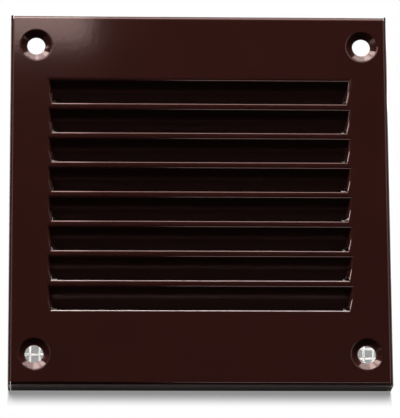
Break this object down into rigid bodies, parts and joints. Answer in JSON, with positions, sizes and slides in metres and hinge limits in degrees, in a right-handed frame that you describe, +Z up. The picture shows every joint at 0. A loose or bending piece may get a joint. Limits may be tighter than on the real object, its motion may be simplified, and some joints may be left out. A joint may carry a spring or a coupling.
{
  "type": "ventilation grille",
  "caption": "Square pressed steel wall vent with slanted louvres in a folded rim, a countersunk screw hole in each corner and an insect net glued behind the blades.",
  "frame": {"origin": "centre of the wall plane, in the middle of the rim's four rear edges", "axes": "the front face looks along -Y away from the wall, +Z is up and the louvres run along X; the plane y = 0 is the wall"},
  "size_m": [0.1, 0.008, 0.1],
  "materials": {
    "brown_paint": "glossy dark brown enamel on steel sheet",
    "white_net": "white moulded plastic net",
    "hot_melt_glue": "cloudy hot melt glue"
  },
  "bodies": {
    "root": {"face_plate": "brown_paint", "screen_uprights": "white_net", "screen_crosswires": "white_net", "glue_beads": "hot_melt_glue"}
  },
  "joints": []
}
